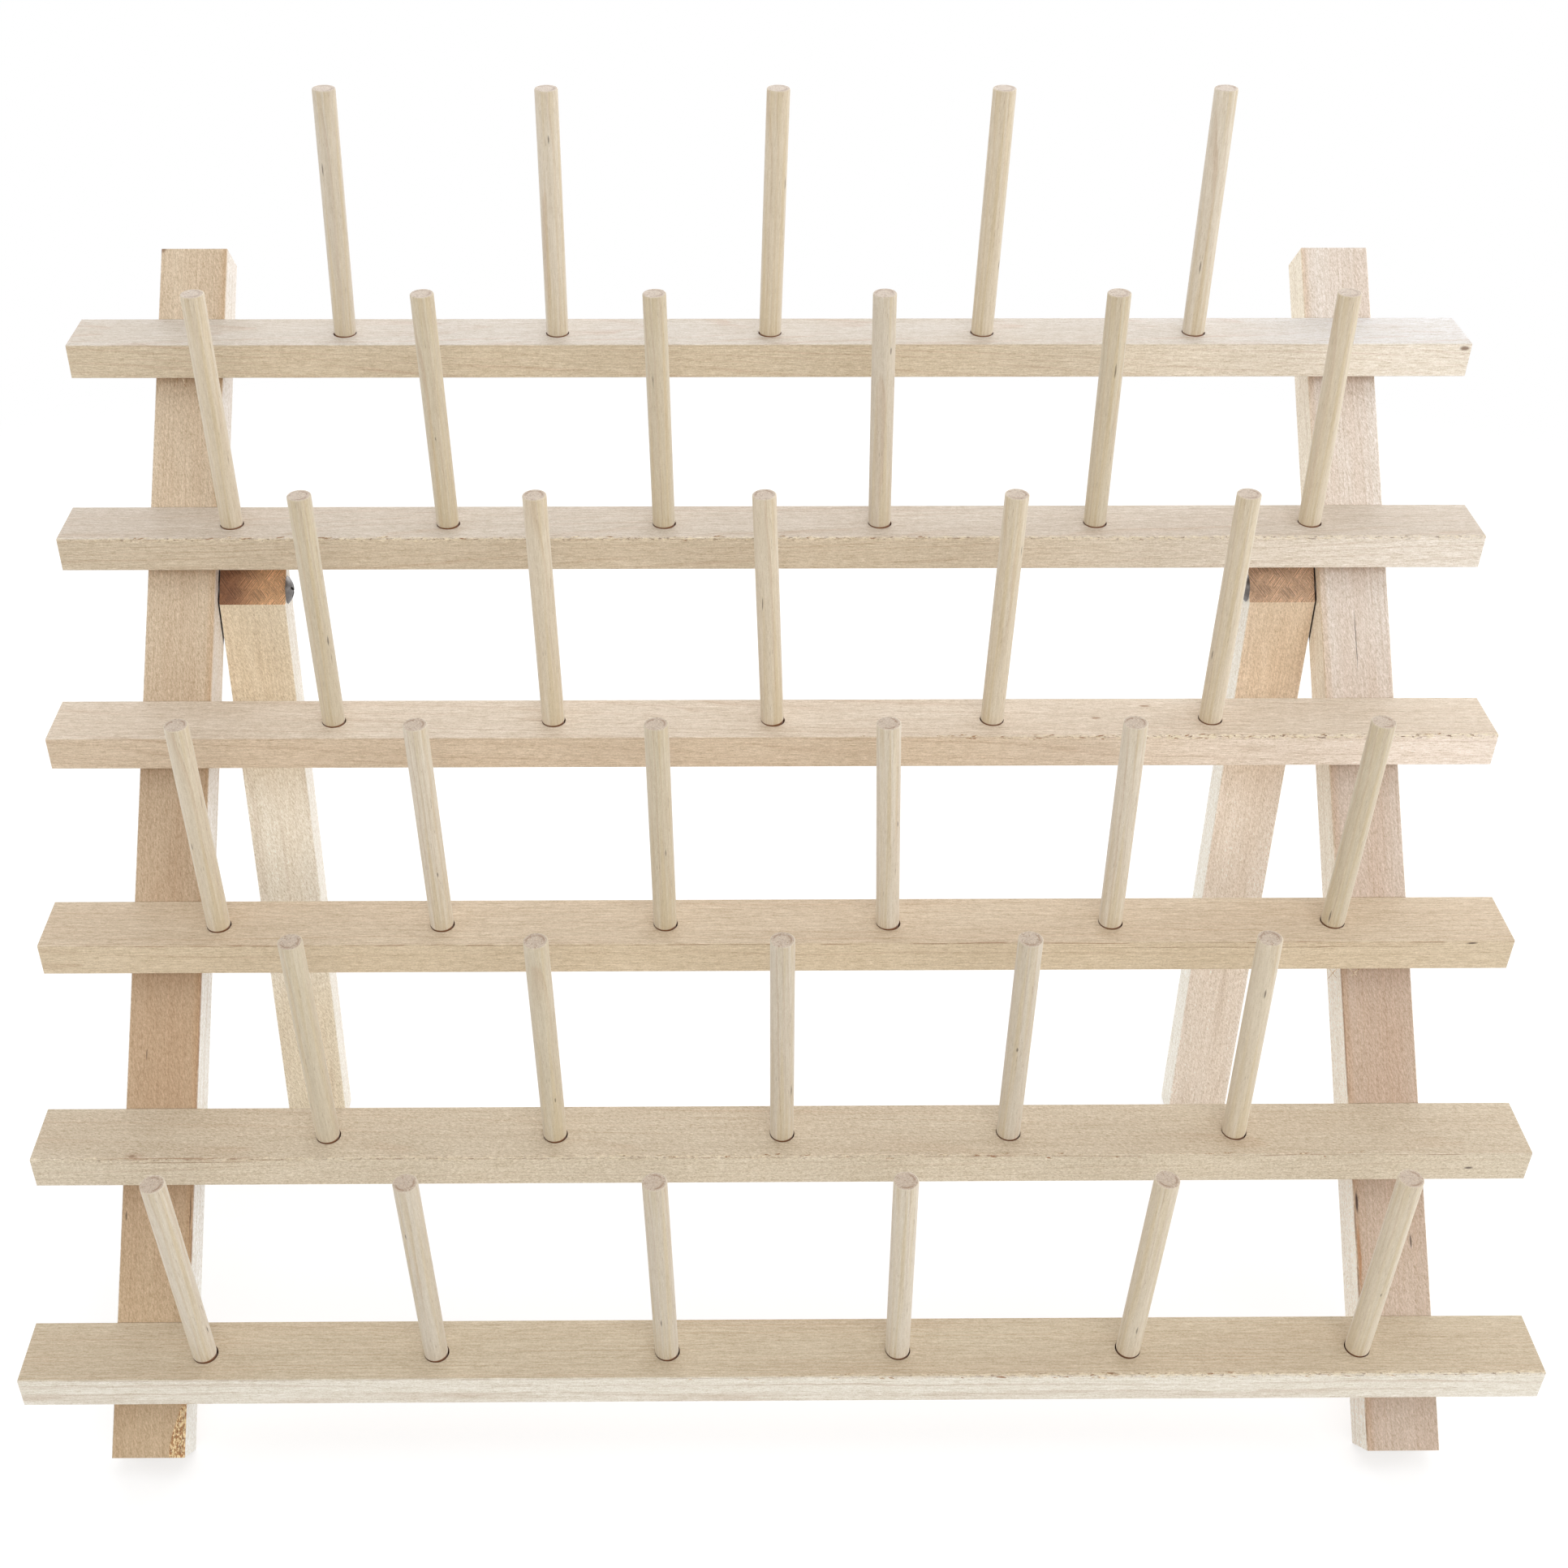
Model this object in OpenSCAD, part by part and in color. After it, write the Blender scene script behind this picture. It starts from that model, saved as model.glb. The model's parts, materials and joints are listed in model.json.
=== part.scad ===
// Folding thread rack of wood: six peg rails across two leaning uprights, held up by two hinged legs.
// X runs to the right, Y to the back and Z up. The origin lies on the floor, under the middle of the rack.
// Everything is laid out in a rack frame first, in which the uprights stand straight up along Z with
// their front faces at Y = 0. The whole frame is then leaned back until the feet are on the floor.

/* [Rails] */
// Number of rails, one above the other
rows = 6; // [4:1:7]
// Length of each rail from end to end
rail_length = 508; // [420:1:700]
// Depth of a rail from front to back
rail_depth = 24; // [20:0.1:32]
// Thickness of a rail
rail_thickness = 12.7; // [10:0.1:15]
// Distance from one rail to the next, along the uprights
rail_pitch = 72; // [60:0.5:100]
// Angle of a rail's top face, up from square to the uprights
rail_tilt = 45; // [38:1:52]
// How far the rails reach past the uprights at each side
rail_overhang = 29.2; // [12:0.1:38]
// How far each rail lies to the right of the middle between the uprights, from the top
rail_shift = [0.9, 1, 0.6, 1.3, 2.3, 1.7];
// Width of the broken edges along every rail, upright, leg and peg end
edge_break = 0.25; // [0.1:0.05:0.8]

/* [Pegs] */
// Pegs in the top rail, while every second rail holds one more
top_row_pegs = 5; // [3:1:6]
// Diameter of a peg
peg_diameter = 8; // [6:0.1:10]
// Length of peg that stands out of a rail
peg_exposed = 87; // [60:1:120]
// Distance from a rail's front edge to the middle of its pegs
peg_setback = 10.8; // [7:0.1:14]
// Distance from a rail's end to the first peg of the fuller rails
peg_end_margin = 60.25; // [52:0.25:80]
// Wood left under a peg hole
peg_floor = 2.7; // [1.5:0.1:4]
// Clearance around a peg's end in its hole
peg_play = 0.45; // [0.2:0.05:0.6]
// How much a peg's radius is turned down where it sits in its hole
peg_thinning = 0.25; // [0.2:0.01:0.4]
// Height above the rail at which a peg reaches its full diameter
peg_shoulder = 0.5; // [0.3:0.1:1]
// Degrees that each peg leans to the right in its hole, rail by rail from the top
peg_lean = [
  [1.2, -0.2, 0.6, 0.2, -1.1],
  [-0.9, -1.6, -1.6, -1.9, -1.3, -1.5],
  [-1.2, -1.6, -3, 0.3, -0.5],
  [-1.3, -1.7, -1.5, -3, -1.4, 0.5],
  [-1.7, -1.7, -1.3, -0.6, -1.5],
  [-3, -2.3, -2.2, -1.5, 1.2, 0.5]
];
// How much farther than the others the pegs of each rail stand out, from the top
row_rise = [0.8, -0.5, 2, -3, -0.2, -4.5];

/* [Uprights] */
// Width of an upright from side to side
upright_width = 24.5; // [18:0.1:32]
// Thickness of an upright from front to back
upright_thickness = 15.9; // [13.5:0.1:22]
// Length of upright below the bottom rail's back edge
upright_below = 44.5; // [34:0.5:90]
// Length of upright above the top rail's back edge
upright_above = 27.5; // [12:0.5:60]
// Angle that the uprights lean back from vertical
lean_back = 37.4; // [25:0.1:45]

/* [Legs] */
// Width of a leg from side to side
leg_width = 24; // [18:0.1:32]
// Thickness of a leg from front to back
leg_thickness = 13; // [10:0.1:16]
// Angle between an open leg and its upright
leg_angle = 40; // [34:0.5:50]
// Distance from the second rail's back edge down to the hinge, along the upright
hinge_drop = 29; // [24:0.5:45]
// Gap between an open leg's tip and the rail that stops it
stop_gap = 0.3; // [0.2:0.05:0.6]
// Wood left between the hinge bore and the bevelled end of a leg
hinge_wall = 1.25; // [0.8:0.05:3]

/* [Hinges] */
// Diameter of a hinge screw's shank
hinge_diameter = 4; // [3:0.1:5]
// Diameter of a hinge screw's domed head
hinge_head_diameter = 10.3; // [8:0.1:12]
// Height of a hinge screw's head
hinge_head_height = 2.2; // [1.7:0.1:4]
// Length of a hinge screw in the upright
hinge_bite = 16; // [8:0.5:17]
// Length of a hinge screw's point
hinge_point = 4; // [2:0.1:6]
// Running clearance around a hinge screw in its leg
hinge_clearance = 0.08; // [0.02:0.01:0.1]
// Diameter of a washer between leg and upright
washer_diameter = 7.6; // [6.4:0.1:14]
// Thickness of a washer
washer_thickness = 0.3; // [0.2:0.1:1.5]
// Side play beside the washer and under the hinge screw's head
side_play = 0.1; // [0.05:0.01:0.3]

/* [Rail screws] */
// Diameter of a rail screw's shank
rail_screw_diameter = 3.5; // [2.5:0.1:4.5]
// Diameter of a rail screw's countersunk head
rail_screw_head = 7; // [5.5:0.1:9]
// Length of a rail screw's point
rail_screw_point = 4; // [2:0.1:6]
// Wood left in front of a rail screw's point
rail_screw_cover = 3; // [1.5:0.1:6]
// Clearance around a rail screw in its upright
rail_screw_clearance = 0.15; // [0.05:0.01:0.3]
// Clearance around a screw's thread in the wood that it grips
thread_clearance = 0.02; // [0.01:0.01:0.05]

/* [Screw recesses] */
// Length of each arm of a cross recess, as a share of the head's diameter
recess_share = 0.52; // [0.4:0.01:0.6]
// Width of each arm of a cross recess
recess_width = 1; // [0.6:0.1:1.4]
// Depth of a cross recess
recess_depth = 1.2; // [0.6:0.1:1.6]

/* [Hidden] */
round_sides = 64;
cut_past = 1;
dome_steps = 8;
wood_pale = "#e6cfa6";
wood_brown = "#c9a877";
wood_yellow = "#ead8ae";
wood_peg = "#ecdcb8";
steel_dark = "#4a4440";
steel_plain = "#a9a9ab";

upright_length = upright_below + (rows - 1) * rail_pitch + upright_above;
frame_half = rail_length / 2 - rail_overhang;
rack_shift = -(max(rail_shift) + min(rail_shift)) / 2;
upright_inner = frame_half - upright_width;
most_pegs = top_row_pegs + 1;
peg_pitch = (rail_length - 2 * peg_end_margin) / (most_pegs - 1);
peg_radius = peg_diameter / 2;
peg_end_radius = peg_radius - peg_thinning;
peg_hole_radius = peg_end_radius + peg_play;
peg_hole_depth = rail_thickness - peg_floor;
most_lean = atan(2 * peg_play / (peg_hole_depth + peg_shoulder));
notch_depth = rail_thickness * sin(rail_tilt);
notch_drop = rail_thickness * cos(rail_tilt);

leg_outer = upright_inner - washer_thickness - 2 * side_play;
leg_inner = leg_outer - leg_width;
hinge_depth = upright_thickness / 2;
hinge_up = rail_up(2) - hinge_drop;
hinge_bore_radius = hinge_diameter / 2 + hinge_clearance;
leg_half = leg_thickness / 2;
tip_to_rail = (hinge_depth - notch_depth) * sin(rail_tilt) + (hinge_drop - notch_drop) * cos(rail_tilt);
leg_tip = (tip_to_rail + leg_half * sin(rail_tilt - leg_angle) - stop_gap) / cos(rail_tilt - leg_angle);
bevel_angle = atan2(leg_half, leg_tip) + asin((hinge_bore_radius + hinge_wall) / norm([leg_half, leg_tip]));
hinge_height = hinge_up * cos(lean_back) + (upright_thickness - hinge_depth) * sin(lean_back);
leg_reach = (hinge_height - leg_half * abs(sin(leg_angle - lean_back))) / cos(leg_angle - lean_back);

hinge_screw_length = upright_inner + hinge_bite - leg_inner + side_play;

rail_screw_x = frame_half - upright_width / 2;
rail_screw_head_height = (rail_screw_head - rail_screw_diameter) / 2;
rail_screw_length = upright_thickness - notch_depth + rail_thickness / sin(rail_tilt) - rail_screw_cover;

peg_front = [peg_setback - rail_depth - peg_radius, peg_exposed + row_of(row_rise, rows)];
rail_front = [-rail_depth, 0];
front_y = min(leaned_y([0, 0]), leaned_y(on_rail(rows, peg_front)), leaned_y(on_rail(rows, rail_front)));
back_y = leaned_y([upright_thickness, upright_length]);
floor_z = leaned_z([upright_thickness, 0]);

peg_names = [for (row = [1:rows]) for (place = [1:pegs_in(row)]) peg_name(row, place)];
rail_names = [for (row = [1:rows]) rail_name(row)];

// Where a point of the rack frame, as [back, up], comes to once the rack leans back
function leaned_y(point) = point[0] * cos(lean_back) + point[1] * sin(lean_back);
function leaned_z(point) = point[1] * cos(lean_back) - point[0] * sin(lean_back);

function rail_name(row) = str("rail_", row);
function peg_name(row, place) = str("peg_", row, "_", place);

// Height of a rail's back edge along the uprights, where rail 1 is the top one
function rail_up(row) = upright_below + (rows - row) * rail_pitch;

// Where a point of a rail's own frame, as [back, up], lies in the rack frame
function on_rail(row, point) = [
  point[0] * cos(rail_tilt) - point[1] * sin(rail_tilt),
  point[0] * sin(rail_tilt) + point[1] * cos(rail_tilt) + rail_up(row)
];

function pegs_in(row) = top_row_pegs + (row % 2 == 0 ? 1 : 0);
function peg_x(row, place) = (place - (pegs_in(row) + 1) / 2) * peg_pitch;
function row_of(table, row) = table[(row - 1) % len(table)];
function lean_wanted(row, place) = row_of(peg_lean, row)[(place - 1) % len(row_of(peg_lean, row))];
function lean_of(row, place) = sign(lean_wanted(row, place)) * min(abs(lean_wanted(row, place)), most_lean);
function peg_length(row) = peg_hole_depth + peg_exposed + row_of(row_rise, row);

module lean_rack() {
  translate([rack_shift, -(front_y + back_y) / 2, -floor_z]) rotate([-lean_back, 0, 0]) children();
}

// The right-hand side is modelled, and the left-hand one is its mirror image
module on_side(side) {
  if (side == "left") mirror([1, 0, 0]) children();
  else children();
}

// A rail's own frame, with the middle of its back edge at the origin and its top face at Z = 0
module at_rail(row) {
  translate([row_of(rail_shift, row), 0, rail_up(row)]) rotate([rail_tilt, 0, 0]) children();
}

module at_peg_hole(row, place) {
  at_rail(row) translate([peg_x(row, place), peg_setback - rail_depth, -peg_hole_depth]) children();
}

// A leg's own frame, with the hinge axis along X at the origin and the leg hanging down along Z
module at_leg() {
  translate([0, hinge_depth, hinge_up]) rotate([leg_angle, 0, 0]) children();
}

// The back face of an upright where a rail screw goes in, with Z along the screw into the wood
module at_rail_screw(row) {
  translate([rail_screw_x, upright_thickness, rail_up(row) - notch_drop]) rotate([90, 0, 0]) children();
}

// The hinge screw's frame, with the underside of its head at the origin and Z along the screw to the upright
module at_hinge_screw() {
  translate([leg_inner - side_play, hinge_depth, hinge_up]) rotate([0, 90, 0]) children();
}

// A rectangle with its corners broken
module broken_rectangle(width, depth) {
  polygon([
    [edge_break, 0],
    [width - edge_break, 0],
    [width, edge_break],
    [width, depth - edge_break],
    [width - edge_break, depth],
    [edge_break, depth],
    [0, depth - edge_break],
    [0, edge_break]
  ]);
}

module along_x(length) {
  translate([-length / 2, 0, 0]) rotate([90, 0, 90]) linear_extrude(length) children();
}

module cross_recess(head_diameter) {
  arm = head_diameter * recess_share;
  for (turn = [0, 90]) rotate([0, 0, turn])
    translate([-arm / 2, -recess_width / 2, 0]) cube([arm, recess_width, recess_depth + cut_past]);
}

// The bore of a hinge screw, from its head to past its point, with a given clearance
module hinge_bore(clearance) {
  at_hinge_screw() translate([0, 0, -cut_past])
    cylinder(r = hinge_diameter / 2 + clearance, h = hinge_screw_length + 2 * cut_past, $fn = round_sides);
}

module rail_screw_bore(row, clearance) {
  at_rail_screw(row) translate([0, 0, -cut_past])
    cylinder(r = rail_screw_diameter / 2 + clearance, h = rail_screw_length + 2 * cut_past, $fn = round_sides);
}

module countersink(row) {
  at_rail_screw(row)
    cylinder(
      r1 = rail_screw_head / 2 + thread_clearance,
      r2 = rail_screw_diameter / 2 + thread_clearance,
      h = rail_screw_head_height,
      $fn = round_sides
    );
}

module upright(side) {
  color(wood_brown) lean_rack() on_side(side) difference() {
    translate([upright_inner, 0, 0]) linear_extrude(upright_length)
      broken_rectangle(upright_width, upright_thickness);
    for (row = [1:rows]) {
      at_rail(row) along_x(rail_length) translate([-rail_depth, -rail_thickness])
        square([rail_depth, rail_thickness]);
      rail_screw_bore(row, rail_screw_clearance);
      countersink(row);
    }
    hinge_bore(thread_clearance);
  }
}

module rail(row) {
  color(wood_pale) lean_rack() difference() {
    at_rail(row) along_x(rail_length) translate([-rail_depth, -rail_thickness])
      broken_rectangle(rail_depth, rail_thickness);
    for (side = ["left", "right"]) on_side(side) rail_screw_bore(row, thread_clearance);
    for (place = [1:pegs_in(row)]) at_peg_hole(row, place)
      cylinder(r = peg_hole_radius, h = peg_hole_depth + cut_past, $fn = round_sides);
  }
}

// A peg leans about the middle of its hole and stands on its lowest rim
module peg(row, place) {
  lean = lean_of(row, place);
  length = peg_length(row);
  rim_radius = peg_end_radius - edge_break;
  foot = [-peg_hole_depth / 2 * tan(lean), 0, rim_radius * sin(abs(lean))];
  color(wood_peg) lean_rack() at_peg_hole(row, place)
    translate(foot) rotate([0, lean, 0]) rotate_extrude($fn = round_sides)
      polygon([
        [0, 0],
        [rim_radius, 0],
        [peg_end_radius, edge_break],
        [peg_end_radius, peg_hole_depth + peg_shoulder],
        [peg_radius, peg_hole_depth + peg_shoulder],
        [peg_radius, length - edge_break],
        [peg_radius - edge_break, length],
        [0, length]
      ]);
}

module leg(side) {
  color(wood_yellow) lean_rack() on_side(side) difference() {
    at_leg() difference() {
      translate([leg_inner, -leg_half, -leg_reach]) linear_extrude(leg_reach + leg_tip)
        broken_rectangle(leg_width, leg_thickness);
      translate([leg_inner - cut_past, leg_half, leg_tip]) rotate([90 - bevel_angle, 0, 0])
        translate([0, -leg_reach, 0]) cube([leg_width + 2 * cut_past, 2 * leg_reach, leg_reach]);
    }
    hinge_bore(hinge_clearance);
  }
}

// The head's domed side, from its top out to its rim, as [radius, height]
function dome(radius, height) =
  let (dome_radius = (pow(radius, 2) + pow(height, 2)) / (2 * height))
  let (half_angle = asin(radius / dome_radius))
  [for (step = [0:dome_steps])
    let (angle = half_angle * step / dome_steps)
    [dome_radius * sin(angle), dome_radius * (1 - cos(angle)) - height]
  ];

module hinge_screw(side) {
  radius = hinge_diameter / 2;
  color(steel_dark) lean_rack() on_side(side) at_hinge_screw() difference() {
    rotate_extrude($fn = round_sides) polygon(concat(
      dome(hinge_head_diameter / 2, hinge_head_height),
      [[radius, 0], [radius, hinge_screw_length - hinge_point], [0, hinge_screw_length]]
    ));
    translate([0, 0, -hinge_head_height - cut_past]) cross_recess(hinge_head_diameter);
  }
}

module hinge_washer(side) {
  color(steel_plain) lean_rack() on_side(side)
    translate([leg_outer + side_play, hinge_depth, hinge_up]) rotate([0, 90, 0]) difference() {
      cylinder(d = washer_diameter, h = washer_thickness, $fn = round_sides);
      translate([0, 0, -cut_past])
        cylinder(r = hinge_bore_radius, h = washer_thickness + 2 * cut_past, $fn = round_sides);
    }
}

module rail_screws(side) {
  radius = rail_screw_diameter / 2;
  color(steel_plain) lean_rack() on_side(side) for (row = [1:rows]) at_rail_screw(row) difference() {
    rotate_extrude($fn = round_sides) polygon([
      [0, 0],
      [rail_screw_head / 2, 0],
      [radius, rail_screw_head_height],
      [radius, rail_screw_length - rail_screw_point],
      [0, rail_screw_length]
    ]);
    translate([0, 0, -cut_past]) cross_recess(rail_screw_head);
  }
}

upright("left");  // left_upright
upright("right");  // right_upright
for (row = [1:rows]) {
  rail(row);
  for (place = [1:pegs_in(row)]) peg(row, place);
}
leg("left");  // left_leg
leg("right");  // right_leg
hinge_screw("left");  // left_hinge_screw
hinge_screw("right");  // right_hinge_screw
hinge_washer("left");  // left_hinge_washer
hinge_washer("right");  // right_hinge_washer
rail_screws("left");  // left_rail_screws
rail_screws("right");  // right_rail_screws
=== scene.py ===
import json
import math
import random

import bmesh
import bpy
from mathutils import Matrix, Vector


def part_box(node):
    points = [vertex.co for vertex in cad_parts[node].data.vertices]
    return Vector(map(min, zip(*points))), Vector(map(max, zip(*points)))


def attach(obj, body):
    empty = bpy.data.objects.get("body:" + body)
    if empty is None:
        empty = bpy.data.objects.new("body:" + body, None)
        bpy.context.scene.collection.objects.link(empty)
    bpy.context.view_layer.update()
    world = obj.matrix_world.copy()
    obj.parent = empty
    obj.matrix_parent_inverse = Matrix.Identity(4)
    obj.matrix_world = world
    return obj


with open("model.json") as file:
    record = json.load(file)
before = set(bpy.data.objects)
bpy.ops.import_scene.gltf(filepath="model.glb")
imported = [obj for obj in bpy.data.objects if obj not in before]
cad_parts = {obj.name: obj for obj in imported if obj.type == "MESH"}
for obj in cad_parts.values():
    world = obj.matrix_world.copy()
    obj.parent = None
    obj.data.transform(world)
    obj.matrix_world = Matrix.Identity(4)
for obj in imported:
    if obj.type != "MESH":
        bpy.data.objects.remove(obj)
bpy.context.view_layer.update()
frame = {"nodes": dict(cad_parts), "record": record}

# The rack's own directions, worked out from the flat face that the frame states on an upright's back
RIGHT = Vector((1, 0, 0))
MOUNTS = {mount["name"]: mount for mount in frame["record"]["mounts"]}
HINGES = {joint["name"]: joint for joint in frame["record"]["behaviour"]["joints"]}
UPRIGHT_BACK = Vector(MOUNTS["left_upright_back"]["axis"])
UPRIGHT_UP = RIGHT.cross(UPRIGHT_BACK)
RAIL_TILT = math.radians(45)
RAIL_BACK = math.cos(RAIL_TILT) * UPRIGHT_BACK + math.sin(RAIL_TILT) * UPRIGHT_UP
RAIL_UP = RIGHT.cross(RAIL_BACK)
LEG_ANGLE = math.radians(40)
LEG_UP = math.cos(LEG_ANGLE) * UPRIGHT_UP - math.sin(LEG_ANGLE) * UPRIGHT_BACK
MILLIMETRES = 1000

ROWS = 6
SIDES = ("left", "right")
# Sizes in millimetres, as the frame's solids have them
RAIL_HALF_LENGTH = 254.0
RAIL_HALF_DEPTH = 12.0
RAIL_HALF_THICKNESS = 6.35
RAIL_PITCH = 72.0
UPRIGHT_FRONT = -7.95
# What lies no deeper than this still belongs to an upright's front face
FRONT_DEPTH = 1.2
UPRIGHT_HALF_WIDTH = 12.25
UPRIGHT_HALF_LENGTH = 216.0
LEG_HALF_THICKNESS = 6.5
# A leg's slanted cut lies this far in front of its hinge, and its tip this far above
MITRE_DEPTH = 3.86
LEG_TIP = 14.7
PEG_RADIUS = 4.0
# The middle of the peg holes lies this far behind a rail's front
PEG_SETBACK = 10.8
PEG_HOLE_RADIUS = 4.2
# A peg's full thickness starts this far above its foot, and its top edge is broken by so much
PEG_SEAT = 10.5
PEG_BREAK = 0.25
# The pale rim of a peg's end
PEG_RIM = 0.38
# The torn corner of the left upright's foot
SPLIT_HEIGHT = 24.0
SPLIT_WIDTH = 5.0

# The photograph's camera
CAMERA_PLACE = Vector((-0.0313, -0.6134, 0.5249))
CAMERA_YAW = math.radians(0.525)
CAMERA_PITCH = math.radians(28.376)
CAMERA_ROLL = math.radians(0.071)
CAMERA_SENSOR = 36
CAMERA_LENS = 45.06
# The photograph was cropped on its left, which moved its middle away from the lens's axis
CAMERA_SHIFT = 0.0517


def make_camera():
    """The camera, at the place that the photograph was taken from."""
    forward = Vector((
        math.sin(CAMERA_YAW) * math.cos(CAMERA_PITCH),
        math.cos(CAMERA_YAW) * math.cos(CAMERA_PITCH),
        -math.sin(CAMERA_PITCH),
    ))
    level = Vector((math.cos(CAMERA_YAW), -math.sin(CAMERA_YAW), 0))
    upward = level.cross(forward)
    across = math.cos(CAMERA_ROLL) * level + math.sin(CAMERA_ROLL) * upward
    upward = across.cross(forward)
    data = bpy.data.cameras.new("camera")
    data.sensor_width = CAMERA_SENSOR
    data.lens = CAMERA_LENS
    data.shift_x = CAMERA_SHIFT
    camera = bpy.data.objects.new("camera", data)
    turn = Matrix((across, upward, -forward)).transposed()
    camera.matrix_world = Matrix.Translation(CAMERA_PLACE) @ turn.to_4x4()
    bpy.context.scene.collection.objects.link(camera)
    bpy.context.scene.camera = camera


class Graph:
    """One material's node tree, built a node at a time."""

    def __init__(self, tree):
        self.tree = tree

    def feed(self, socket, value):
        """Links another node's socket, or sets a plain value."""
        if isinstance(value, bpy.types.NodeSocket):
            self.tree.links.new(value, socket)
        else:
            socket.default_value = value

    def node(self, kind, inputs=None, **settings):
        made = self.tree.nodes.new("ShaderNode" + kind)
        for name, value in settings.items():
            setattr(made, name, value)
        for socket, value in (inputs or {}).items():
            self.feed(made.inputs[socket], value)
        return made

    def math(self, operation, first, second=0.0, third=0.0):
        inputs = {0: first, 1: second, 2: third}
        return self.node("Math", inputs, operation=operation).outputs[0]

    def vector(self, operation, first, second=(0, 0, 0), third=(0, 0, 0)):
        made = self.node("VectorMath", {0: first, 1: second, 2: third}, operation=operation)
        return made.outputs["Value" if operation in ("LENGTH", "DOT_PRODUCT") else "Vector"]

    def times(self, first, *others):
        """The product of several numbers."""
        for other in others:
            first = self.math("MULTIPLY", first, other)
        return first

    def split(self, place):
        """A place's parts along, across and through the wood."""
        return tuple(self.node("SeparateXYZ", {0: place}).outputs)

    def millimetres(self):
        """The object's own coordinates in millimetres."""
        return self.vector("MULTIPLY", self.node("TexCoord").outputs["Object"], (MILLIMETRES,) * 3)

    def scaled(self, colour, share):
        """A colour made darker or lighter."""
        return self.node("VectorMath", {0: colour, "Scale": share}, operation="SCALE").outputs[0]

    def noise_node(self, place, grain, detail=2.0, roughness=0.5):
        at = self.vector("MULTIPLY", place, grain)
        return self.node("TexNoise", {"Vector": at, "Scale": 1.0, "Detail": detail, "Roughness": roughness})

    def noise(self, place, grain, *settings):
        return self.noise_node(place, grain, *settings).outputs[0]

    def drift(self, place, grain, reach):
        """Wanders to both sides of nothing, by up to half of reach in each direction."""
        wander = self.noise_node(place, grain).outputs["Color"]
        return self.vector("MULTIPLY", self.vector("SUBTRACT", wander, (0.5,) * 3), reach)

    def band(self, value, low, high, start=0.0, end=1.0):
        """Rises smoothly from start, where value is low, to end, where it is high."""
        inputs = {"Value": value, "From Min": low, "From Max": high, "To Min": start, "To Max": end}
        return self.node("MapRange", inputs, interpolation_type="SMOOTHSTEP").outputs[0]

    def mix(self, share, first, second):
        """A colour between first and second, the nearer to second the larger the share."""
        inputs = {0: share, 6: first, 7: second}
        return self.node("Mix", inputs, data_type="RGBA").outputs[2]

    def product(self, first, second):
        """One colour multiplied by another."""
        inputs = {0: 1.0, 6: first, 7: second}
        return self.node("Mix", inputs, data_type="RGBA", blend_type="MULTIPLY").outputs[2]


class Place:
    """A piece's own frame: its middle, and the directions along, across and through the wood."""

    def __init__(self, node, along, across):
        low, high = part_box(node)
        self.origin = (low + high) / 2
        self.turn = Matrix((along, across, along.cross(across)))

    def local(self, graph):
        """The piece's own coordinates in millimetres, from the object's."""
        at_rest = graph.node("TexCoord").outputs["Object"]
        made = graph.node("Mapping", {"Vector": at_rest}, vector_type="POINT")
        made.inputs["Scale"].default_value = (MILLIMETRES,) * 3
        made.inputs["Rotation"].default_value = self.turn.to_euler()
        made.inputs["Location"].default_value = -(self.turn @ self.origin) * MILLIMETRES
        return made.outputs[0]

    def facing(self, graph, axis):
        """How squarely the surface faces along, across or through the wood, from 0 to 1."""
        normal = graph.node("TexCoord").outputs["Normal"]
        return graph.math("ABSOLUTE", graph.vector("DOT_PRODUCT", normal, self.turn[axis]))


def colour(red, green, blue):
    """A colour of the screen's 0 to 255 as linear light."""
    return tuple(((value / 255 + 0.055) / 1.055) ** 2.4 for value in (red, green, blue)) + (1.0,)


WHITE = (1.0, 1.0, 1.0, 1.0)
# Colours of the wood's details
PORE = colour(150, 112, 78)
FUZZ = colour(240, 226, 198)
EDGE_LINE = colour(142, 98, 62)
TORN = colour(112, 74, 44)
OLIVE = colour(202, 182, 142)
END_STREAK = colour(168, 142, 118)
END_GREY = colour(214, 198, 178)
END_ARC = colour(140, 106, 78)
MITRE_DARK = colour(138, 94, 64)
CRACK = colour(64, 42, 28)
STREAK = colour(150, 108, 72)
# Painted shade on the walls of the peg holes and on the pegs' feet inside them
HOLE_SHADE = colour(146, 96, 58)
SPLIT_BROWN = colour(168, 118, 72)
SPLIT_PALE = colour(240, 214, 166)
# These multiply the wood's own colour: a painted shade below a rail, a tan along an upright's edge, and in
# the fine grain
UNDER_RAIL_SHADE = (0.8, 0.62, 0.44, 1.0)
EDGE_TAN = (0.86, 0.72, 0.56, 1.0)
GRAIN_TINT = (0.85, 1.0, 1.3)
# The saw's marks on a leg's slanted cut run square to these directions
MITRE_RISING = (0.5, 0.8, 0.3)
MITRE_FALLING = (-0.5, 0.8, -0.3)

# How often each unevenness repeats in a millimetre: along, across and through the wood
RING_BEND_GRAIN = (0.006, 0.03, 0.03)
RING_RIPPLE_GRAIN = (0.05, 0.4, 0.4)
RING_WIDTH_GRAIN = (0.0, 0.11, 0.11)
RING_FAINT_GRAIN = (0.012, 0.25, 0.25)
FIBRE_GRAIN = (0.05, 1.5, 1.5)
SPECK_GRAIN = (1.5, 2.1, 2.1)
CLOUD_GRAIN = (0.01, 0.07, 0.07)
PORE_GRAIN = (0.3, 2.6, 2.6)
END_PORE_GRAIN = (0.1, 3.0, 3.0)
MARK_GRAIN = (0.15, 0.8, 0.8)
EDGE_DRIFT_GRAIN = (0.02, 0.0, 0.0)
EDGE_BREAK_GRAIN = (0.09, 0.3, 0.3)
FUZZ_GRAIN = (0.35, 1.1, 1.1)
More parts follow.
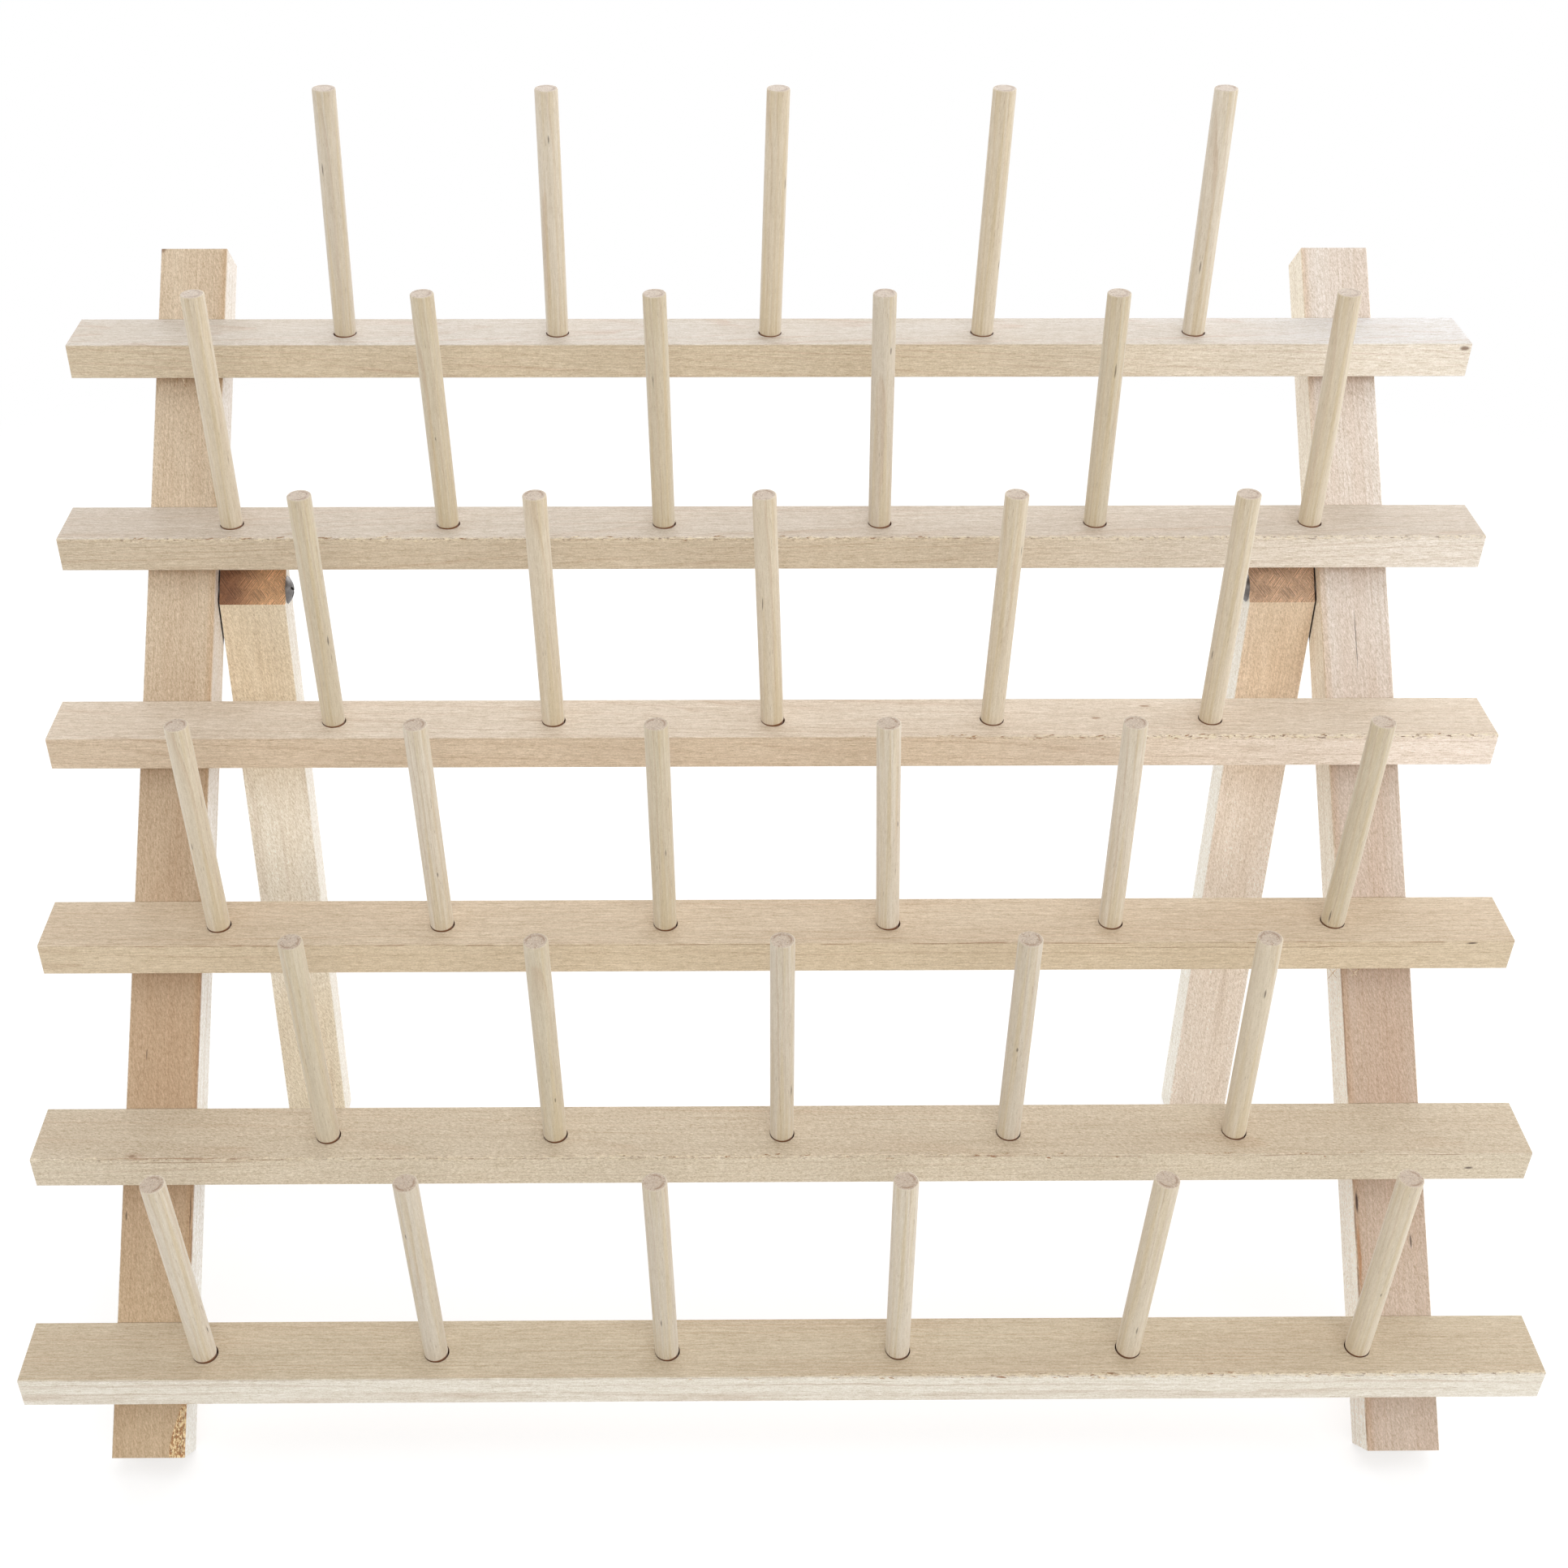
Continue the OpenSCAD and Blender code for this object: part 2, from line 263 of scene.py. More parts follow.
TORN_PIT_GRAIN = (0.6, 1.4, 1.4)
SPLIT_PIT_GRAIN = (0.9, 1.7, 1.7)
UNDER_RAIL_SHADE_GRAIN = (0.2, 0.5, 0.5)
ROUGH_EDGE_GRAIN = (0.12, 0.6, 0.6)
STRIPE_GRAIN = (0.012, 0.55, 0.55)
DASH_GRAIN = (0.14, 2.1, 2.1)
PEG_STREAK_GRAIN = (4.0, 4.0, 4.0)
PEG_MOTTLE_GRAIN = (1.0, 1.6, 1.6)
PEG_PIT_GRAIN = (0.8, 2.2, 2.2)
PEG_ARC_GRAIN = (0.02, 0.2, 0.2)
MITRE_GRAIN = (0.2, 0.2, 0.2)
TARNISH_GRAIN = (0.6, 0.6, 0.6)
SCUFF_GRAIN = (5.0, 5.0, 5.0)
TORN_TONE_GRAIN = (0.4, 0.9, 0.9)

# Each yearly ring darkens up to this share of its width, and then ends
LATE_WOOD = 0.93
LATE_WOOD_SHARPNESS = 2.2
RING_UNEVENNESS = 2.5
RING_RIPPLE = 0.9
MARK_RIPPLE = (1.5, 0.8, 0.8)
# The line under a rail's front edge drifts down by so many millimetres, and its torn places reach so far
EDGE_DRIFT = 1.4
TORN_REACH = 1.7
# Saw marks in a millimetre of a leg's slanted cut
SAW_MARKS = 2.4
# The painted shadow in the seam along an open leg is so wide on the upright's side
SEAM_SHADOW_WIDTH = 2.6
# Shade is painted so far below a rail, with an edge that wanders by so much, and the wood is tanned at its
# inner edge
UNDER_RAIL_SHADE_REACH = 8.0
UNDER_RAIL_SHADE_DRIFT = 6.0
TAN_REACH = 3.5
ROUGHNESS_SPREAD = 0.07
DULLED = 0.72
SCUFF_DEPTH = 0.02
FIBRE_HEIGHT = 0.06
SPECK_HEIGHT = 0.05
BUMP_STRENGTH = 0.8
SHEEN_ROUGHNESS = 0.5

# Wood with a short slanted grain all over, and wood turned smooth
WOVEN = {"grain_stretch": (0.5, 1.9, 1.9), "slant": 0.3, "speck_strength": 0.85, "fibre_strength": 0.5}
SMOOTH = {"grain_strength": 0.5, "speck_strength": 0.25, "fibre_strength": 0.35, "sheen": 0.3}


class Look:
    """What one piece of wood looks like. Lengths are in millimetres."""

    pale = colour(212, 192, 163)
    brown = colour(196, 170, 138)
    line = colour(180, 146, 112)
    # Faces that face across the wood take this colour and their own tints: painted light, for how differently
    # light falls on them
    side = colour(214, 196, 168)
    end = colour(180, 160, 136)
    end_facing = (0.6, 0.8)
    ring_centre = (38.0, -55.0)
    ring_spacing = 2.6
    run_out = 0.02
    ring_strength = 0.35
    ring_bend = 7.0
    fibre_strength = 0.5
    grain_strength = 1.15
    speck_strength = 0.7
    grain_stretch = (0.3, 2.9, 2.9)
    pore_strength = 0.4
    slant = 0.03
    tone_strength = 0.5
    roughness = 0.62
    sheen = 0.04
    # Each tint starts at one place along the piece, is full at another, and multiplies the colour
    tints = ()
    side_light_tints = ()
    # Each mark has its middle, its half lengths, its colour and its strength
    marks = ()

    def __init__(self, **changes):
        for name, value in changes.items():
            if not hasattr(Look, name):
                raise ValueError(f"a look has no {name}")
            setattr(self, name, value)


def growth_rings(graph, place, look):
    """Thin darker lines where the board cuts the tree's yearly rings."""
    bend = graph.drift(place, RING_BEND_GRAIN, (look.ring_bend,) * 3)
    ripple = graph.drift(place, RING_RIPPLE_GRAIN, (RING_RIPPLE,) * 3)
    bent = graph.vector("ADD", graph.vector("ADD", place, bend), ripple)
    along, across, through = graph.split(bent)
    depth = graph.math("MULTIPLY_ADD", along, look.run_out, through)
    from_pith = graph.node("CombineXYZ", {
        1: graph.math("SUBTRACT", across, look.ring_centre[0]),
        2: graph.math("SUBTRACT", depth, look.ring_centre[1]),
    })
    years = graph.math("DIVIDE", graph.vector("LENGTH", from_pith.outputs[0]), look.ring_spacing)
    uneven = graph.noise(place, RING_WIDTH_GRAIN, 1.0)
    years = graph.math("MULTIPLY_ADD", uneven, RING_UNEVENNESS, years)
    season = graph.math("FRACT", years)
    late = graph.times(graph.band(season, 0.45, LATE_WOOD), graph.band(season, 1.0, LATE_WOOD))
    faint = graph.band(graph.noise(place, RING_FAINT_GRAIN), 0.3, 0.7)
    return graph.times(graph.math("POWER", late, LATE_WOOD_SHARPNESS), faint)


def fine_grain(graph, place, look):
    """Fibres, short diagonal grain and specks: how far each spot is from the wood's own tone."""
    fibre = graph.noise(place, FIBRE_GRAIN, 3.0, 0.6)
    slant = graph.node("VectorRotate", {"Vector": place, "Axis": (0, 0, 1), "Angle": look.slant}).outputs[0]
    grain = graph.noise(slant, look.grain_stretch, 3.0, 0.75)
    speck = graph.noise(place, SPECK_GRAIN, 2.0, 0.8)
    middle = -0.5 * (look.fibre_strength + look.grain_strength + look.speck_strength)
    total = graph.math("MULTIPLY_ADD", fibre, look.fibre_strength, middle)
    total = graph.math("MULTIPLY_ADD", grain, look.grain_strength, total)
    return graph.math("MULTIPLY_ADD", speck, look.speck_strength, total), fibre, speck


def add_mark(graph, place, surface, mark):
    """A knot, streak or crack: a soft-edged ellipsoid in the wood."""
    centre, radii, shade, strength = mark
    wobble = graph.drift(place, MARK_GRAIN, MARK_RIPPLE)
    away = graph.vector("SUBTRACT", graph.vector("ADD", place, wobble), centre)
    reach = graph.vector("LENGTH", graph.vector("DIVIDE", away, radii))
    return graph.mix(graph.band(reach, 1.0, 0.35, 0.0, strength), surface, shade)


def tinted(graph, along, surface, tints):
    """The colour after each of a look's tints has multiplied it along its stretch of the piece."""
    for start, full, shade in tints:
        share = graph.mix(graph.band(along, start, full), WHITE, shade + (1,))
        surface = graph.product(surface, share)
    return surface


def sawn_end(graph, place, look, rings):
    """An end cut across the grain: open pores between the rings."""
    pores = graph.noise(place, END_PORE_GRAIN, 2.0, 0.7)
    sawn = graph.mix(graph.times(rings, 0.6), look.end, look.line)
    return graph.scaled(sawn, graph.band(pores, 0.35, 0.65, 0.8, 1.14))


def bored_end(graph, place, look, rings):
    """A rail's sawn end. What faces the same way farther in is the wall of a peg hole, which gets a painted
    shade.
    """
    from_middle = graph.math("ABSOLUTE", graph.split(place)[0])
    in_hole = graph.band(from_middle, RAIL_HALF_LENGTH - 1, RAIL_HALF_LENGTH - 2)
    return graph.mix(in_hole, sawn_end(graph, place, look, rings), HOLE_SHADE)


def new_material(name):
    """A material, the graph of its nodes, and its shader."""
    material = bpy.data.materials.new(name)
    material.use_nodes = True
    graph = Graph(material.node_tree)
    return material, graph, graph.tree.nodes["Principled BSDF"]


def wood(name, where, look, face_detail=None, end_detail=sawn_end):
    """A wood material in one piece's own frame."""
    material, graph, shader = new_material(name)
    place = where.local(graph)
    along = graph.split(place)[0]

    rings = growth_rings(graph, place, look)
    grain, fibre, speck = fine_grain(graph, place, look)
    cloud = graph.noise(place, CLOUD_GRAIN, 3.0, 0.55)
    pore = graph.noise(place, PORE_GRAIN, 2.0, 0.6)

    face = graph.mix(graph.band(cloud, 0.35, 0.7, 0.0, look.tone_strength), look.pale, look.brown)
    face = tinted(graph, along, face, look.tints)
    # Painted light: faces that face across the wood take the look's side colour and its tints
    sides = graph.band(where.facing(graph, 1), 0.6, 0.8)
    face = graph.mix(sides, face, tinted(graph, along, look.side, look.side_light_tints))
    face = graph.mix(graph.times(rings, look.ring_strength), face, look.line)
    face = graph.mix(graph.band(pore, 0.64, 0.74, 0.0, look.pore_strength), face, PORE)
    if face_detail:
        face = face_detail(graph, place, face)
    for mark in look.marks:
        face = add_mark(graph, place, face, mark)
    sawn = end_detail(graph, place, look, rings)
    ends = graph.band(where.facing(graph, 0), *look.end_facing)
    surface = graph.mix(ends, face, sawn)
    uneven = graph.vector("MULTIPLY_ADD", grain, GRAIN_TINT, (1, 1, 1))
    graph.feed(shader.inputs["Base Color"], graph.vector("MULTIPLY", surface, uneven))

    smoothest = look.roughness - ROUGHNESS_SPREAD
    rough = graph.band(fibre, 0.3, 0.7, smoothest, look.roughness + ROUGHNESS_SPREAD)
    graph.feed(shader.inputs["Roughness"], rough)
    height = graph.math("MULTIPLY_ADD", fibre, FIBRE_HEIGHT, graph.times(speck, SPECK_HEIGHT))
    bump = graph.node("Bump", {"Height": height, "Distance": 1 / MILLIMETRES, "Strength": BUMP_STRENGTH})
    graph.feed(shader.inputs["Normal"], bump.outputs[0])
    shader.inputs["Sheen Weight"].default_value = look.sheen
    shader.inputs["Sheen Roughness"].default_value = SHEEN_ROUGHNESS
    return material


def peg_hole_wall(graph, from_front, from_top):
    """1 on the walls of a rail's peg holes, which are all of its surface that lies inside its box."""
    from_holes = graph.math("ABSOLUTE", graph.math("SUBTRACT", from_front, PEG_SETBACK))
    near_holes = graph.band(from_holes, PEG_HOLE_RADIUS + 0.6, PEG_HOLE_RADIUS + 0.3)
    return graph.times(near_holes, graph.band(from_top, 0.1, 0.3))


def front_edge(line, start=0, full=0, torn=0.0):
    """A brown line under a rail's front top edge, painted shade on the peg holes' walls, and dark pits and
    pale fuzz where the edge is torn.
    """
    def detail(graph, place, surface):
        along, across, through = graph.split(place)
        from_front = graph.math("ADD", across, RAIL_HALF_DEPTH)
        from_top = graph.math("SUBTRACT", RAIL_HALF_THICKNESS, through)
        drift = graph.noise(place, EDGE_DRIFT_GRAIN)
        wander = graph.math("MULTIPLY_ADD", drift, EDGE_DRIFT, from_top)
        thin = graph.times(graph.band(wander, 0.75, 1.05), graph.band(wander, 1.5, 1.1))
        broken = graph.band(graph.noise(place, EDGE_BREAK_GRAIN), 0.4, 0.6, 0.1, line)
        thin = graph.times(thin, broken, graph.band(from_front, 0.6, 0.3))
        surface = graph.mix(thin, surface, EDGE_LINE)
        # Painted shade on the walls of the peg holes
        surface = graph.mix(peg_hole_wall(graph, from_front, from_top), surface, HOLE_SHADE)
        if not torn:
            return surface
        near = graph.band(graph.math("MAXIMUM", from_front, from_top), TORN_REACH, 0.5)
        near = graph.times(near, graph.band(along, start, full, 0.0, torn))
        fuzz = graph.noise(place, FUZZ_GRAIN, 3.0, 0.7)
        pits = graph.noise(place, TORN_PIT_GRAIN, 2.0, 0.7)
        pale = graph.times(near, graph.band(fuzz, 0.42, 0.6))
        dark = graph.times(near, graph.band(pits, 0.56, 0.66))
        return graph.mix(dark, graph.mix(pale, surface, FUZZ), TORN)
    return detail


def first_edge(where):
    """Where the topmost rail's lower face leaves an upright's front, along the upright."""
    low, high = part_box("rail_1")
    middle = where.turn @ ((low + high) / 2 - where.origin) * MILLIMETRES
    slope = 2 * RAIL_HALF_THICKNESS * math.cos(RAIL_TILT)
    return middle[0] + UPRIGHT_FRONT - middle[2] - slope


def leg_seam_shadow(graph, where, place, side):
    """How much painted shadow darkens the upright's side in the seam, where the open leg's front lies against
    it.
    """
    hinge = where.turn @ (Vector(HINGES[f"{side}_leg_hinge"]["pos_m"]) - where.origin) * MILLIMETRES
    from_hinge = graph.vector("SUBTRACT", place, hinge)
    behind_leg_front = graph.vector("DOT_PRODUCT", from_hinge, where.turn @ LEG_UP.cross(RIGHT))
    behind_mitre = graph.vector("DOT_PRODUCT", from_hinge, where.turn @ UPRIGHT_BACK)
    inside = graph.math("MINIMUM", graph.math("ADD", behind_leg_front, LEG_HALF_THICKNESS),
                        graph.math("ADD", behind_mitre, MITRE_DEPTH))
    seam = graph.times(graph.band(inside, 0.0, 0.3), graph.band(inside, SEAM_SHADOW_WIDTH, SEAM_SHADOW_WIDTH - 0.7))
    height = graph.vector("DOT_PRODUCT", from_hinge, where.turn @ UPRIGHT_UP)
    return graph.times(seam, graph.band(height, LEG_TIP, LEG_TIP - 1))


def split_foot(graph, place, surface, along, from_edge):
    """A torn corner at the foot, wider towards the floor: brown pits among pale fibres."""
    from_floor = graph.math("ADD", along, UPRIGHT_HALF_LENGTH)
    reach = graph.band(from_floor, SPLIT_HEIGHT, 2.0, 0.4, SPLIT_WIDTH)
    inside = graph.band(graph.math("SUBTRACT", from_edge, reach), 0.35, -0.15)
    low = graph.band(from_floor, SPLIT_HEIGHT, SPLIT_HEIGHT - 1)
    front = graph.band(graph.split(place)[2], UPRIGHT_FRONT + FRONT_DEPTH, UPRIGHT_FRONT + 0.4)
    inside = graph.times(inside, low, front)
    pits = graph.noise(place, SPLIT_PIT_GRAIN, 2.0, 0.7)
    torn = graph.mix(graph.band(pits, 0.44, 0.56), SPLIT_BROWN, SPLIT_PALE)
    return graph.mix(inside, surface, torn)


def upright_detail(where, side):
    """Painted shade just below each rail, a rough inner edge low down, and painted shadow in the seam beside
    the leg.
    """
    inward = 1 if side == "left" else -1
    top_edge = first_edge(where)

    def detail(graph, place, surface):
        along, across, through = graph.split(place)
        # Painted shade: the front is darker and browner for a few millimetres below each rail, where the
        # rail's shadow falls
        below = graph.math("SUBTRACT", top_edge, along)
        below = graph.math("FLOORED_MODULO", below, RAIL_PITCH)
        uneven = graph.noise(place, UNDER_RAIL_SHADE_GRAIN, 3.0, 0.6)
        below = graph.math("MULTIPLY_ADD", graph.math("SUBTRACT", uneven, 0.5), UNDER_RAIL_SHADE_DRIFT, below)
        front = graph.band(through, UPRIGHT_FRONT + FRONT_DEPTH, UPRIGHT_FRONT + 0.2)
        rail_shade = graph.times(graph.band(below, UNDER_RAIL_SHADE_REACH, 0.0), front)
        surface = graph.product(surface, graph.mix(rail_shade, WHITE, UNDER_RAIL_SHADE))

        from_edge = graph.math("SUBTRACT", UPRIGHT_HALF_WIDTH, graph.times(across, inward))
        tan = graph.times(graph.band(from_edge, TAN_REACH, 0.5, 0.0, 0.5), front)
        surface = graph.product(surface, graph.mix(tan, WHITE, EDGE_TAN))
        rough = graph.band(graph.noise(place, ROUGH_EDGE_GRAIN, 3.0, 0.6), 0.35, 0.6, 0.05, 0.7)
        low = graph.band(along, -30.0, -60.0)
        dark = graph.times(graph.band(from_edge, 0.55, 0.15), rough, low, front)
        surface = graph.mix(dark, surface, EDGE_LINE)

        if side == "left":
            surface = split_foot(graph, place, surface, along, from_edge)
        # Painted shadow: the crack's dark colour where the open leg's front lies against the upright
        seam = graph.times(leg_seam_shadow(graph, where, place, side), graph.band(from_edge, 0.4, 0.1))
        return graph.mix(seam, surface, CRACK)
    return detail


def dowel_stripes(shoulder):
    """Olive stripes along a peg, a few dark dashes, and painted shade below its shoulder, in the hole."""
    def detail(graph, place, surface):
        stripe = graph.noise(place, STRIPE_GRAIN)
        surface = graph.mix(graph.band(stripe, 0.46, 0.66, 0.0, 0.5), surface, OLIVE)
        dash = graph.noise(place, DASH_GRAIN, 2.0, 0.6)
        surface = graph.mix(graph.band(dash, 0.68, 0.76, 0.0, 0.45), surface, TORN)
        below_shoulder = graph.band(graph.split(place)[0], shoulder - 0.2, shoulder - 0.5)
        return graph.mix(below_shoulder, surface, HOLE_SHADE)
    return detail


def dowel_end(graph, place, look, rings):
    """A peg's end: pale rim, part of a brown ring, and streaks that run out from the middle."""
    flat = graph.vector("MULTIPLY", place, (0, 1, 1))
    radius = graph.vector("LENGTH", flat)
    outward = graph.vector("NORMALIZE", flat)
    streaks = graph.noise(outward, PEG_STREAK_GRAIN, 3.0, 0.7)
    mottle = graph.noise(place, PEG_MOTTLE_GRAIN, 3.0, 0.7)
    middle = graph.mix(graph.band(streaks, 0.45, 0.6, 0.0, 0.5), look.end, END_STREAK)
    middle = graph.mix(graph.band(mottle, 0.4, 0.62, 0.0, 0.6), middle, END_GREY)
    pits = graph.noise(place, PEG_PIT_GRAIN, 2.0, 0.7)
    middle = graph.mix(graph.band(pits, 0.55, 0.66, 0.0, 0.75), middle, END_ARC)
    arc = graph.times(graph.band(radius, 2.2, 2.8), graph.band(radius, 3.4, 2.9))
    part = graph.band(graph.noise(place, PEG_ARC_GRAIN, 0.0), 0.5, 0.62, 0.0, 0.6)
    middle = graph.mix(graph.times(arc, part), middle, END_ARC)
    rim = graph.band(radius, PEG_RADIUS - PEG_RIM, PEG_RADIUS - 0.24, 0.0, 0.8)
    return graph.mix(rim, middle, look.pale)


def mitre(dark_side):
    """A leg's slanted top, burnt by the saw: reddish brown with diagonal marks."""
    def detail(graph, place, look, rings):
        paler = graph.band(graph.split(place)[1], -9.0, 7.0, 1.0 - dark_side, 1.0)
        burnt = graph.mix(paler, MITRE_DARK, look.end)
        blotch = graph.noise(place, MITRE_GRAIN)
        burnt = graph.scaled(burnt, graph.band(blotch, 0.35, 0.65, 0.86, 1.14))
        for direction, start, full in ((MITRE_RISING, 0.52, 0.47), (MITRE_FALLING, 0.5, 0.55)):
            across = graph.vector("DOT_PRODUCT", place, direction)
            marks = {"W": across, "Scale": SAW_MARKS, "Detail": 1.0}
            cut = graph.node("TexNoise", marks, noise_dimensions="1D")
            depth = graph.band(blotch, start, full, 0.0, 0.3)
            lines = graph.band(cut.outputs[0], 0.35, 0.65, -1.0, 1.0)
            burnt = graph.scaled(burnt, graph.math("MULTIPLY_ADD", lines, depth, 1.0))
        return burnt
    return detail


def steel(name, shade, roughness):
    """A screw's metal, duller in patches and finely scuffed."""
    material, graph, shader = new_material(name)
    place = graph.millimetres()
    tarnish = graph.noise(place, TARNISH_GRAIN, 4.0, 0.6)
    scuff = graph.noise(place, SCUFF_GRAIN, 3.0, 0.6)
    dull = tuple(DULLED * part for part in shade[:3]) + (1.0,)
    graph.feed(shader.inputs["Base Color"], graph.mix(graph.band(tarnish, 0.35, 0.65), dull, shade))
    graph.feed(shader.inputs["Roughness"], graph.band(scuff, 0.3, 0.7, roughness - 0.08, roughness + 0.1))
    bump = graph.node("Bump", {"Height": scuff, "Distance": SCUFF_DEPTH / MILLIMETRES})
    graph.feed(shader.inputs["Normal"], bump.outputs[0])
    shader.inputs["Metallic"].default_value = 1.0
    return material


def finish_node(name, material):
    """Gives one of the frame's solids its material."""
    node = frame["nodes"][name]
    node.data.materials.clear()
    node.data.materials.append(material)


# The rails' looks from the top. Their right ends are paler, their fronts more so, partly their own tone and
# partly painted light from the right
RIGHT_END_LIGHT = ((100, 250, (1.14, 1.22, 1.36)),)
RIGHT_FRONT_LIGHT = ((40, 250, (1.32, 1.43, 1.68)),)
RAIL_LOOKS = [
    Look(
        pale=colour(212, 202, 190), brown=colour(202, 188, 170), side=colour(215, 198, 171),
        line=colour(188, 150, 122), ring_centre=(10.0, -48.0), run_out=0.05,
        tints=RIGHT_END_LIGHT, side_light_tints=RIGHT_FRONT_LIGHT,
        marks=(((251.6, -12, 4.6), (2.5, 1.2, 1.0), TORN, 0.8),),
    ),
    Look(
        pale=colour(209, 197, 182), brown=colour(199, 183, 166), side=colour(211, 194, 169),
        ring_centre=(-30.0, -40.0), run_out=-0.045, side_light_tints=RIGHT_FRONT_LIGHT,
    ),
    Look(
        pale=colour(220, 205, 186), brown=colour(209, 190, 168), side=colour(219, 198, 172),
        ring_centre=(50.0, 60.0), run_out=0.05, side_light_tints=RIGHT_FRONT_LIGHT,
        marks=(
            ((133.2, 7.0, 6.35), (3.0, 0.7, 1.0), STREAK, 0.8),
            ((114.4, -0.7, 6.35), (2.4, 0.6, 1.0), STREAK, 0.8),
        ),
    ),
    Look(
        pale=colour(209, 191, 166), brown=colour(199, 177, 150), side=colour(220, 201, 172),
        ring_centre=(-70.0, -20.0), run_out=0.01,
        marks=(
            ((239.7, -12, 5.3), (2.6, 1.5, 0.5), CRACK, 0.9),
            ((165, -12, 3.9), (85, 1.5, 0.3), STREAK, 0.5),
        ),
    ),
    Look(
        pale=colour(204, 189, 166), brown=colour(194, 175, 150), side=colour(222, 208, 185),
        ring_centre=(-25.0, 55.0), run_out=-0.03, ring_strength=0.25, **WOVEN,
        marks=(
            ((-220, -10.6, 6.35), (1.5, 0.9, 0.9), TORN, 0.6),
            ((-219, -10.2, 6.35), (5.0, 1.6, 1.6), STREAK, 0.3),
            ((-205, -11.6, 6.2), (38, 0.5, 0.5), STREAK, 0.6),
            ((-200, -12, 4.8), (32, 1.5, 0.35), STREAK, 0.6),
            ((234.0, -12, -0.7), (1.8, 1.5, 0.8), CRACK, 0.8),
        ),
    ),
    Look(
        pale=colour(200, 185, 160), brown=colour(192, 172, 146), side=colour(238, 230, 215),
        ring_centre=(90.0, -20.0), run_out=0.004, ring_spacing=1.5, ring_strength=0.42, ring_bend=3.0,
        grain_strength=0.95,
    ),
]
# How strong the line under the front top edge is, by row
EDGE_LINES = (0.2, 0.2, 0.3, 0.7, 0.6, 0.4)
# Where the front top edge is torn, by row: it starts, is at its worst, and how badly
TORN_EDGES = {2: (-350, -200, 0.6), 3: (20, 170, 0.9), 5: (250, -60, 0.45), 6: (-60, 120, 0.6)}
UPRIGHT_LOOKS = {
    "left": Look(
        **WOVEN,
        pale=colour(197, 172, 143), brown=colour(181, 151, 120), side=colour(232, 224, 215),
        ring_centre=(60.0, -12.0), ring_spacing=1.8, run_out=0.004, ring_strength=0.3,
        tints=((0, 110, (1.24, 1.35, 1.47)), (-20, -80, (0.97, 0.92, 0.87)), (-110, -190, (1.05, 1.1, 1.1))),
        side_light_tints=((60, -60, (1.1, 1.16, 1.2)), (-150, -200, (1.04, 1.05, 1.04))),
        marks=(
            ((216, -12, UPRIGHT_FRONT), (2.2, 2.2, 2), TORN, 0.7),
            ((-136, 11.3, UPRIGHT_FRONT), (10, 0.3, 1), CRACK, 0.7),
            ((-81, -5.7, UPRIGHT_FRONT), (2.4, 0.28, 1), CRACK, 0.6),
            ((-136, -10.6, UPRIGHT_FRONT), (2.2, 0.35, 1), CRACK, 0.7),
        ),
    ),
    "right": Look(
        **WOVEN,
        pale=colour(210, 192, 176), brown=colour(197, 170, 148), side=colour(247, 236, 217),
        ring_centre=(-70.0, -20.0), ring_spacing=2.0, run_out=-0.004, ring_strength=0.25,
        tints=((0, 110, (1.22, 1.32, 1.41)), (-20, -80, (0.87, 0.8, 0.73)), (-110, -190, (1.05, 1.1, 1.15))),
        side_light_tints=((40, -60, (1.06, 1.1, 1.18)),),
        marks=(
            ((66, -0.2, UPRIGHT_FRONT), (14, 0.24, 2), CRACK, 0.8),
            ((-133.3, -11.3, UPRIGHT_FRONT), (5, 0.7, 1.5), CRACK, 1.0),
            ((-146.6, 6.7, UPRIGHT_FRONT), (3, 0.45, 1.5), CRACK, 0.8),
            ((-152, -11.3, UPRIGHT_FRONT), (15, 0.7, 1), colour(178, 122, 72), 0.7),
        ),
    ),
}
LEG_LOOKS = {
    "left": Look(
        **WOVEN,
        pale=colour(234, 218, 191), brown=colour(226, 205, 174), side=colour(242, 236, 225),
        end=colour(208, 163, 120), end_facing=(0.4, 0.55),
        ring_centre=(-4.0, 90.0), ring_spacing=3.4, run_out=0.003, ring_strength=0.2,
        tints=((70, 20, (1.12, 1.22, 1.4)), (-30, -80, (0.98, 0.93, 0.84))),
    ),
    "right": Look(
        **WOVEN,
        pale=colour(229, 207, 180), brown=colour(219, 193, 162), side=colour(249, 245, 234),
        end=colour(196, 162, 132), end_facing=(0.4, 0.55),
        ring_centre=(6.0, 80.0), ring_spacing=3.0, run_out=-0.003, ring_strength=0.16,
        tints=((70, 20, (1.2, 1.32, 1.54)),),
    ),
}
# How strongly one side of each leg's slanted cut is burnt
MITRE_BURNS = {"left": 1.0, "right": 0.1}
# Each peg is one of these pairs, pale and brown
PEG_TONES = [
    (colour(217, 203, 180), colour(201, 184, 155)),
    (colour(211, 199, 180), colour(196, 180, 153)),
    (colour(219, 207, 188), colour(205, 190, 163)),
    (colour(209, 196, 172), colour(194, 174, 145)),
]
# How far up from a peg's middle a crack lies, and how far round from its front
PEG_CRACKS = {"peg_3_3": (10, -28), "peg_2_5": (22, 10), "peg_4_2": (-12, 24), "peg_5_4": (4, -15)}
PEG_END = colour(194, 178, 162)
PEG_SEED = 33
# What each peg draws by chance: its rings' middle and spacing, its grain's slope, and its crack
PEG_PITH_ACROSS = (15, 60)
PEG_PITH_THROUGH = (-30, 30)
PEG_RING_SPACINGS = (1.6, 2.8)
PEG_RUN_OUTS = (-0.02, 0.02)
PEG_CRACK_HEIGHTS = (-35, 35)
PEG_CRACK_ANGLES = (-80, 80)
PEG_CRACK_LENGTHS = (1.0, 4)
PEG_CRACK_SECTION = (0.4, 0.4)


